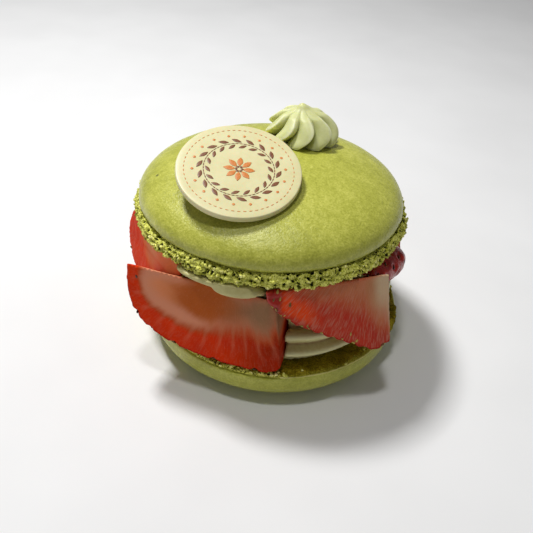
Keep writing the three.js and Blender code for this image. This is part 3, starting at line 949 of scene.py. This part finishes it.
def berry_slope(t, spec):
    ahead, behind = (berry_width(np.clip(t + step, 0, 1), spec) for step in (0.01, -0.01))
    return (ahead - behind) / 0.02


def slanted(x, y, spec, length):
    """Places along the berry, moved back where the butt is cut at a slant."""
    return y - spec.slant * np.maximum(x, 0) * np.maximum(0, 1 - y / length)


def wedge_frame(spec):
    """The wedge's axes (across, along, turned), its length and its outward side."""
    butt, tip = np.array(spec.butt, float), np.array(spec.tip, float)
    length = np.linalg.norm(tip - butt)
    along = (tip - butt) / length
    outward = np.array(spec.face, float)
    outward -= along * (along @ outward)
    outward /= np.linalg.norm(outward)
    across = np.cross(along, outward)
    if across[2] > 0:
        across = -across
    turned_axis = np.cross(across, along)
    frame = np.eye(4)
    frame[:3] = np.c_[across, along, turned_axis, butt]
    return frame, length, copysign(1, turned_axis @ outward)


def berry_body(spec, length, grow):
    share = 0.5 - 0.5 * np.cos(np.pi * np.arange(BERRY_ROWS + 1) / BERRY_ROWS)
    width = np.maximum(berry_width(share, spec), 0.01)
    rings = [(w, t * length + grow * (2 * t - 1), BERRY_SIDES) for t, w in zip(share[:-1], width)]
    points, faces = turned_body([(0, -grow, 1), *rings, (0, length + grow, 1)])
    x, z, y = (points * (spec.reach + grow, spec.depth + grow, 1)).T
    return np.c_[x, slanted(x, y, spec, length), z], faces


def knife_body(spec, length, side, grow):
    """All that lies before the bowed face."""
    steps = np.linspace(0, 1, 25)
    y = -0.2 * length + 1.4 * length * steps
    z = spec.bow * 4 * steps * (1 - steps) + grow
    far, span = spec.depth + 20, spec.reach * 1.6
    outline = np.vstack([np.c_[y, z], [(y[-1] + 30, far), (y[0] - 30, far)]])
    count = len(outline)
    points = np.array([(x, py, pz * side) for x in (-span, span) for py, pz in outline])
    faces = [list(range(count)), list(range(2 * count - 1, count - 1, -1))]
    faces += [[i, i + count, (i + 1) % count + count, (i + 1) % count] for i in range(count)]
    return points, faces


def slab(name, level, upward, frame=np.eye(4)):
    """A wide plate that fills everything on one side of a level."""
    low, high = (level, level + SLAB_DEPTH) if upward else (level - SLAB_DEPTH, level)
    square = ((-1, -1), (1, -1), (1, 1), (-1, 1))
    corners = [(x * SLAB_REACH, y * SLAB_REACH, z) for z in (low, high) for x, y in square]
    faces = [[3, 2, 1, 0], [4, 5, 6, 7], [0, 1, 5, 4], [1, 2, 6, 5], [2, 3, 7, 6], [3, 0, 4, 7]]
    return closed_piece(name, (np.array(corners, float), faces), frame)


def wedge_solid(name, spec, grow=0.0):
    frame, length, side = wedge_frame(spec)
    piece = closed_piece(name, berry_body(spec, length, grow), frame)
    tools = [closed_piece("knife", knife_body(spec, length, side, grow), frame)]
    if spec.angle < 180:
        angle = radians(spec.angle)
        normal = np.array([sin(angle), 0, cos(angle) * side])
        pivot = cos(angle) * spec.bow / 2 - grow
        plate = np.eye(4)
        plate[:3] = np.c_[(0, 1, 0), np.cross(normal, (0, 1, 0)), normal, normal * pivot]
        tools.append(slab("second_cut", 0, False, frame @ plate))
    carve(piece, tools)
    discard(*tools)
    return piece


def overlaps(first, second):
    a, b = points_of(first), points_of(second)
    return bool(np.all(a.min(0) < b.max(0)) and np.all(b.min(0) < a.max(0)))


def seed_places(spec, length):
    """Places and outward directions of the seeds, in the wedge's own axes."""
    count = int(length * 2 * pi * spec.reach * 0.75 / SEED_SPACING ** 2)
    share = 0.06 + 0.9 * (np.arange(count) + 0.5) / count
    angle = np.arange(count) * GOLDEN_ANGLE
    width = berry_width(share, spec)
    x, z = width * spec.reach * np.cos(angle), width * spec.depth * np.sin(angle)
    outs = np.c_[np.cos(angle) / spec.reach, -berry_slope(share, spec) / length,
                 np.sin(angle) / spec.depth]
    return np.c_[x, slanted(x, share * length, spec, length), z], unit(outs)


def read_berry(points, normals, frame, length, spec):
    """Each vertex's share of the berry's length, its distance from the rind, the same for
    its sides alone, and whether it is on the skin, all from its place in the berry."""
    x, y, z = unplace(points, frame).T
    sheared = np.maximum(x, 0) * spec.slant
    t = np.clip((y + sheared) / (1 + sheared / length) / length, 0, 1)
    width, slope = berry_width(t, spec), berry_slope(t, spec)
    rho = np.hypot(x / spec.reach, z / spec.depth)
    scale = np.hypot(x, z) / np.maximum(rho, 1e-6)
    steep = np.sqrt(1 + (scale * slope / length) ** 2)
    rind = (width - rho) * scale / steep
    radial = unit(np.c_[x / spec.reach ** 2, -slope * width / length, z / spec.depth ** 2])
    facing = np.einsum("ij,ij->i", normals @ frame[:3, :3], radial)
    skin = smooth(0.9, 0.35, rind) * smooth(0.35, 0.75, facing)
    if spec.skin_from:
        uneven = t + 0.02 * swell(points, 2, 65)
        skin = np.maximum(skin, smooth(spec.skin_from, spec.skin_from + 0.05, uneven))
    side_width = width if spec.round_butt else flat_width(t, spec)
    side_rind = (side_width - rho) * scale / steep + spec.open_top * np.maximum(-x, 0)
    return t, rind, side_rind, skin


def seat_seeds(points, normals, skin, frame, length, side, spec):
    """The seeds' places and directions on skin and cut face, and the dents round them."""
    seats, ways, push = [], [], np.zeros(len(points))
    places, outs = seed_places(spec, length)
    for seat, out in zip(place(places, frame), outs @ frame[:3, :3].T):
        away = np.linalg.norm(points - seat, axis=1)
        near = away.argmin()
        if away[near] > 0.7 or skin[near] < 0.55:
            continue
        push -= 0.5 * np.exp(-(away / 0.85) ** 2) - 0.12 * np.exp(-((away - 1.7) / 0.7) ** 2)
        seats.append(points[near] - out * 0.22)
        ways.append(out)
    outward = frame[:3, 2] * side
    for across, far in spec.pips:
        gap = points - place(np.array([[across, far, 0]]), frame)
        away = np.linalg.norm(gap - np.outer(gap @ outward, outward), axis=1)
        near = np.where(normals @ outward > 0.6, away, 9).argmin()
        push -= 0.3 * np.exp(-(np.linalg.norm(points - points[near], axis=1) / 0.7) ** 2)
        seats.append(points[near] - outward * 0.2)
        ways.append(outward)
    return np.array(seats), np.array(ways), push


def dress_wedge(name, spec):
    """Dents the wedge for its seeds and gives it its flesh and skin. Gives the seeds'
    places and directions."""
    piece = wedges[name]
    frame, length, side = wedge_frame(spec)
    points, normals = points_of(piece), normals_of(piece)
    t, rind, side_rind, skin = read_berry(points, normals, frame, length, spec)
    seats, ways, push = seat_seeds(points, normals, skin, frame, length, side, spec)
    push *= np.maximum(smooth(0.1, 0.6, skin), push < 0)
    wave = 0.16 * swell(points, 5.5, 61) + 0.05 * swell(points, 1.6, 62)
    push += wave * (1 - skin) + 0.12 * swell(points, 4, 63) * skin
    move_points(piece, points + normals * push[:, None])

    band = np.interp(t, *zip(*spec.band)) * (1 + 0.12 * swell(points, 7, 64))
    x, y, _ = unplace(points, frame).T
    along, above, radius = spec.fan
    mark(piece, rind=rind, band=np.clip(side_rind, 0, 99) / band, skin=skin,
         butt=smooth(spec.greyed, 0.0, t), tip=smooth(0.48, 0.92, t),
         core=np.interp(t, *zip(*spec.core)),
         fan=np.arctan2(y - along, np.abs(x) + above) * radius)
    flesh, outside = (
        strawberry(f"{part}_{name}", spec, Roughness=rough, Specular_IOR_Level=shine)
        for part, rough, shine in (("flesh", 0.4, 0.015), ("skin", 0.24, 0.3)))
    skinned = [all(skin[i] > 0.4 for i in face.vertices) for face in piece.data.polygons]
    finish_piece(piece, "strawberry_" + name, "strawberry", flesh, outside, kinds=skinned)
    return seats, ways


def seed_plan():
    """A pointed seed on each point, turned to face along the point's own direction."""
    plan = Plan("berry_seeds", Length=0.66, Width=0.42, Height=0.3, Seed=3)
    ball = plan.add("GeometryNodeMeshUVSphere", {"Segments": 10, "Rings": 6, "Radius": 1.0})
    x, y, z = plan.given_place()
    narrow = 1 - (y + 1) * 0.32
    pip = plan.set_place(ball.outputs["Mesh"], Position=plan.vector(
        x * narrow * plan.size("Width"), y * plan.size("Length"),
        z * narrow * plan.size("Height")))
    facing = plan.add("GeometryNodeInputNamedAttribute", {"Name": "facing"},
                      data_type="FLOAT_VECTOR")
    align = plan.add("FunctionNodeAlignRotationToVector", {"Vector": facing.outputs[0]}, axis="Z")
    twist = plan.add("FunctionNodeAxisAngleToRotation", {
        "Axis": (0.0, 0.0, 1.0), "Angle": plan.chance("FLOAT", -0.5, 0.5)})
    whole = plan.add("FunctionNodeRotateRotation", {
        0: align.outputs[0], 1: twist.outputs[0]}, rotation_space="LOCAL")
    points = plan.points_from(plan.given.outputs["Geometry"])
    return plan.deliver(plan.strew(points, pip, Rotation=whole.outputs[0]))


ROOF = slab("roof", -TOP.foot_height - GAP, True, TOP_FRAME)
FLOOR = slab("floor_plate", BOTTOM.foot_top + GAP, False)

wedges = {}
for name, spec in WEDGES.items():
    piece = wedge_solid(f"strawberry_{name}_cut", spec)
    grown = [wedge_solid("grown", WEDGES[other], GAP) for other in wedges]
    carve(piece, [ROOF, FLOOR, *(tool for tool in grown if overlaps(piece, tool))])
    discard(*grown)
    wedges[name] = soften(piece, 0.36, 4)

SEEDS = seed_plan()
for name, spec in WEDGES.items():
    seats, facing = dress_wedge(name, spec)
    if len(seats):
        coat = DARK_SEED if spec.dark_seeds else SEED
        seeds = SEEDS.make("seeds_" + name, seats_for(seats, facing=facing), coat)
        finish_piece(seeds, None, "strawberry", coat)

# ---------------------------------------------------------------- cream


def grid_plan(name, rows, columns, **sizes):
    """A plan that starts from a sheet whose place gives two shares from 0 to 1."""
    plan = Plan(name, Rows=rows, Columns=columns, **sizes)
    sheet = plan.add("GeometryNodeMeshGrid", {
        "Size X": 1.0, "Size Y": 1.0, "Vertices X": plan.size("Columns"),
        "Vertices Y": plan.size("Rows")})
    x, y, _ = plan.given_place()
    return plan, sheet.outputs["Mesh"], x + 0.5, y + 0.5


def close_up(plan, sheet, position):
    """Bends the sheet to its shape, and joins the edges that meet."""
    merged = plan.add("GeometryNodeMergeByDistance", {
        "Geometry": plan.set_place(sheet, Position=position), "Distance": 0.01})
    return plan.deliver(merged.outputs[0])


def rope_plan():
    """A ridged rope of cream laid in a ring, whose ridges wander up and down."""
    plan, sheet, round_share, section_share = grid_plan(
        "ridged_rope", 129, 385, Center=25.0, Level=17.0, Width=CREAM.width,
        Height=CREAM.height, Ridges=CREAM.ridges, Depth=CREAM.depth, Wander=CREAM.wander,
        Phase=0.0, Wobble=0.25)
    around, section = round_share * (2 * pi), section_share * (2 * pi)
    phase = plan.size("Phase")
    swing = (section + (around + phase).sin() * plan.size("Wander")
             + (around * 3.0 + phase * 2.0).sin() * 0.08)
    ridge = (section * plan.size("Ridges") * 0.5).cos().size()
    reach = 1 - (1 - ridge) * plan.size("Depth") * 2
    wobble = (around * 7.0 + phase).sin() + (around * 11.0 + 2.0).sin()
    wobble = wobble * plan.size("Wobble") * 0.5
    out = swing.cos() * reach * plan.size("Width") + plan.size("Center") + wobble
    up = swing.sin() * reach * plan.size("Height") + plan.size("Level") + wobble * 0.5
    return close_up(plan, sheet, plan.vector(around.cos() * out, around.sin() * out, up))


def cream_lip(center, size, heading):
    rings = [(cos(a), sin(a), 96) for a in np.linspace(-1.5, 1.5, 49)]
    points, faces = turned_body([(0, -1, 1), *rings, (0, 1, 1)])
    turn = np.array(Matrix.Rotation(radians(heading), 4, "Z"))
    turn[:3, 3] = center
    return closed_piece("lip", (points * size, faces), turn)


def cream_filling():
    core = [(0, 5, 1), (CREAM.core, 5, 96), (CREAM.core, 45, 96), (0, 45, 1)]
    cream = closed_piece("filling", turned_body(core))
    rope = rope_plan()
    ropes = [turned_out(rope.make("rope", Center=center, Level=level, Phase=level))
             for level, center in CREAM.ropes]
    lips = [cream_lip(*lip) for lip in LIPS]
    carve(cream, ropes + lips, "UNION")
    tools = [wedge_solid("grown", spec, GAP) for spec in WEDGES.values()]
    carve(cream, [ROOF, FLOOR, *tools])
    discard(*ropes, *lips, *tools)
    soften(cream, 0.46, 2)
    x, y, z = points_of(cream).T
    around, nearest, crest = np.arctan2(y, x), np.full(len(x), 1.5), np.full(len(x), 0.6)
    for level, center in CREAM.ropes:
        out, up = (np.hypot(x, y) - center) / CREAM.width, (z - level) / CREAM.height
        turn = CREAM.wander * np.sin(around + level) + 0.08 * np.sin(around * 3 + level * 2)
        ridge = np.abs(np.cos((np.arctan2(up, out) - turn) * CREAM.ridges / 2))
        crest = np.where(np.hypot(out, up) < nearest, ridge, crest)
        nearest = np.minimum(nearest, np.hypot(out, up))
    # crest places the filling's painted highlight on the ridges and painted shade in the grooves
    mark(cream, crest=0.6 + (crest - 0.6) * smooth(1.14, 1.04, nearest))
    finish_piece(cream, "cream_filling", "cream", FILLING)


cream_filling()
discard(ROOF, FLOOR)

# ---------------------------------------------------------------- toppings

RIDGE_AT = 0.78  # where the ridge of a rosette's lobe lies, as a share of the lobe
DAB_RIDGES = 7
PRINT_LIFT = 0.02


def above_dome(points):
    """Height one gap over the top shell's dome, in the shell's own frame."""
    share = np.clip(np.hypot(points[:, 0], points[:, 1]) / (TOP.radius + GAP), 0, 1)
    rise = (1 - share ** TOP.exponent) ** (1 / TOP.exponent)
    return TOP.widest + (TOP.dome_height + GAP) * rise


def rosette_plan():
    """A piped kiss: lobes that wind as they rise and close in to a peak."""
    p = ROSETTE
    plan, sheet, round_share, rise = grid_plan(
        "piped_rosette", 110, p.lobes * 56 + 1, Radius=p.radius, Height=p.height,
        Lobes=p.lobes, Depth=p.depth, Twist=p.twist, Lean=p.lean)
    belly = ((rise * 0.72 + 0.28) * pi).sin()
    width = (belly.combine("MAXIMUM", 0.0) ** 0.85) * plan.size("Radius")
    width = width * rise.between(-0.01, 0.02)
    width = width * (1 - rise.between(0.74, 0.9) * (1 - rise.between(0.9, 1.0) * 0.5) * 0.4)
    phase = (round_share * plan.size("Lobes")).combine("FRACT")
    falling = ((1 - phase) / (1 - RIDGE_AT)) ** 0.7
    crest = (1 - (1 - phase / RIDGE_AT) ** 2.0).combine("MINIMUM", falling)
    deep = 1 - rise * rise * 0.6 + (1 - rise) ** 3.0 * 0.5
    deep = deep * (1 - rise.between(0.8, 0.93) * 0.85)
    reach = width * (1 - (1 - crest) * plan.size("Depth") * 2 * deep)
    wound = round_share * (2 * pi) + ((1 - rise) * (pi / 0.7)).sin() * plan.size("Twist")
    lean = (rise ** 6.0) * plan.size("Lean")
    return close_up(plan, sheet, plan.vector(wound.cos() * reach - lean, wound.sin() * reach,
                                             rise * plan.size("Height")))


def cream_rosette():
    p = ROSETTE
    piece = turned_out(rosette_plan().make("rosette"))
    points = points_of(piece) + (p.x, p.y, p.base)
    points += 0.12 * normals_of(piece) * swell(points, 3.2, 71)[:, None]
    rise = np.clip((points[:, 2] - p.base) / p.height, 0, 1)
    angle = np.arctan2(points[:, 1] - p.y, points[:, 0] - p.x + rise ** 6 * p.lean)
    angle -= p.twist * np.sin((1 - rise) * pi / 0.7)
    phase = angle * p.lobes / (2 * pi) % 1
    crest = np.minimum(phase / RIDGE_AT, (1 - phase) / (1 - RIDGE_AT))
    # crest places the rosette's painted highlight on the lobes' ridges and painted shade in the
    # grooves between them
    mark(piece, crest=crest + (0.6 - crest) * smooth(0.72, 0.88, rise))
    points[:, 2] = np.maximum(points[:, 2], above_dome(points))
    move_points(piece, place(points, TOP_FRAME))
    finish_piece(piece, "cream_rosette", "rosette", PIPED_GREEN)


def chocolate_disc():
    p = DISC
    edge = [(p.radius - p.edge * (1 - sin(a)), -p.edge * (1 - cos(a)))
            for a in np.linspace(0, pi / 2, 6)]
    low = [(r, -p.thickness - z) for r, z in edge[::-1]]
    outline = [(r, 0) for r in (4, 8, 12, 14)] + edge + low + [(r, -p.thickness) for r in (12, 6)]
    rings = [(0, 0, 1), *((r, z, 192) for r, z in outline), (0, -p.thickness, 1)]
    points, faces = turned_body(rings)
    points[:, 0] *= 1 + 0.004 * np.sin(2 * bearing(points))
    piece = closed_piece("disc", (points, faces), DISC_FRAME)
    finish_piece(piece, "chocolate_disc", "white_chocolate", CHOCOLATE)


def cream_dab():
    p = DAB
    rings = [(p.radius * cos(a), p.height * sin(a), 96)
             for a in np.linspace(-pi / 2, pi / 2, 50)[1:-1]]
    points, faces = turned_body([(0, -p.height, 1), *rings, (0, p.height, 1)])
    ridge = np.abs(np.cos(DAB_RIDGES / 2 * bearing(points)))
    points[:, :2] *= (1 - 0.16 * (1 - ridge))[:, None]
    points += (p.x, p.y, TOP.dome_height)
    normal, center = DISC_LEAN[:3, 2], DISC_LEAN[:3, 3]
    origin = center - normal * (DISC.thickness + GAP)
    roof = origin[2] - ((points[:, :2] - origin[:2]) @ normal[:2]) / normal[2]
    ground = above_dome(points)
    points[:, 2] = np.minimum(np.maximum(points[:, 2], ground), np.maximum(roof, ground))
    piece = closed_piece("dab", (points, faces), TOP_FRAME)
    # crest places the dab's painted highlight on its ridges and painted shade between them
    mark(piece, crest=0.45 + 0.4 * ridge)
    finish_piece(piece, "cream_dab", "cream", FILLING)


def wreath_plan():
    """Flat petals laid round a circle, each turned by an angle from the way outward."""
    plan = Plan("printed_ring", Radius=8.0, Count=12, Length=2.0, Width=0.8, Thickness=0.05,
                Turn=0.0, Start=0.0)
    ring = plan.add("GeometryNodeMeshCircle", {
        "Radius": plan.size("Radius"), "Vertices": plan.size("Count")})
    petal = plan.add("GeometryNodeMeshUVSphere", {"Segments": 16, "Rings": 6, "Radius": 1.0})
    x, y, z = plan.given_place()
    pinch = 1 - x * x * 0.65
    leaf = plan.set_place(petal.outputs["Mesh"], Position=plan.vector(
        x * plan.size("Length") * 0.5, y * pinch * plan.size("Width") * 0.5,
        z * plan.size("Thickness")))
    heading = y.combine("ARCTAN2", x) + plan.size("Turn")
    leaves = plan.strew(plan.points_from(ring.outputs[0]), leaf,
                        Rotation=plan.vector(0.0, 0.0, heading))
    spun = plan.add("GeometryNodeTransform", {
        "Geometry": leaves, "Rotation": plan.vector(0.0, 0.0, plan.size("Start"))})
    return plan.deliver(spun.outputs[0])


def printed_wreath():
    """A generic printed ornament: a ring of leaves with dots and a plain flower."""
    ring = wreath_plan()
    keys = ("Radius", "Count", "Length", "Width", "Turn", "Start")
    for name, ink, *sizes in (
            ("leaves_out", BROWN_PRINT, 9.6, 18, 2.7, 1.1, 1.15, 0.0),
            ("leaves_in", BROWN_PRINT, 7.6, 18, 2.3, 0.95, 2.1, 0.17),
            ("stem", BROWN_PRINT, 8.6, 54, 1.1, 0.28, 1.57, 0.0),
            ("berries", ORANGE_PRINT, 11.3, 18, 0.85, 0.85, 0.0, 0.17),
            ("petals", ORANGE_PRINT, 2.4, 8, 3.0, 1.5, 0.0, 0.0),
            ("heart", BROWN_PRINT, 0.75, 6, 0.8, 0.8, 0.0, 0.0),
            ("border", ORANGE_PRINT, 13.3, 60, 0.9, 0.26, 1.57, 0.0)):
        piece = ring.make("print_" + name, finish=ink, **dict(zip(keys, sizes)))
        move_points(piece, place(points_of(piece) + (0, 0, PRINT_LIFT), DISC_FRAME))
        finish_piece(piece, None, "white_chocolate", ink)


cream_rosette()
chocolate_disc()
cream_dab()
printed_wreath()

# ---------------------------------------------------------------- stage, lights and camera

FLOOR_REACH, FLOOR_LEVEL = 900, -0.02
CAMERA = Sizes(place=(-2.578, -152.379, 135.863), elevation=37.604, roll=4.914, lens=44.99,
               sensor=36.0)


def stage_floor():
    corners = [(x * FLOOR_REACH, y * FLOOR_REACH, FLOOR_LEVEL)
               for x, y in ((-1, -1), (1, -1), (1, 1), (-1, 1))]
    floor = mesh_object("floor", corners, [[0, 1, 2, 3]])
    paper = Recipe("pale_floor", Roughness=0.9)
    grey = paper.tones(paper.grain(40.0), (0.3, (236.15,) * 3), (0.7, (241.05,) * 3))
    floor.data.materials.append(paper.serve(grey))


def lamp(name, at, aim, size, power):
    light = bpy.data.lights.new(name, "AREA")
    light.size, light.energy = size * MM, power
    holder = shown(name, light)
    holder.rotation_mode = "QUATERNION"
    holder.rotation_quaternion = (Vector(aim) - Vector(at)).to_track_quat("-Z", "Y")
    holder.location = Vector(at) * MM


def studio():
    world = bpy.data.worlds.new("studio")
    bpy.context.scene.world = world
    world.use_nodes = True
    air = world.node_tree.nodes["Background"].inputs
    air["Color"].default_value = (1, 1, 1, 1)
    air["Strength"].default_value = 0.16
    lamp("overhead", (-170, 130, 460), (0, 0, 30), 80, 2.0)
    lamp("glance", (-45, -80, 530), (0, 0, 40), 50, 0.6)
    bpy.context.scene.view_settings.view_transform = "Standard"


def camera():
    p = CAMERA
    elevation, roll = radians(p.elevation), radians(p.roll)
    back = np.array([0, -cos(elevation), sin(elevation)])
    right, up = np.array([1.0, 0, 0]), np.cross(back, [1.0, 0, 0])
    axes = np.eye(4)
    axes[:3] = np.c_[cos(roll) * right + sin(roll) * up, cos(roll) * up - sin(roll) * right,
                     back, np.array(p.place) * MM]
    lens = bpy.data.cameras.new("camera")
    lens.sensor_width, lens.lens, lens.clip_start = p.sensor, p.lens, 0.01
    eye = shown("camera", lens)
    eye.matrix_world = Matrix(axes.tolist())
    bpy.context.scene.camera = eye


stage_floor()
studio()
camera()
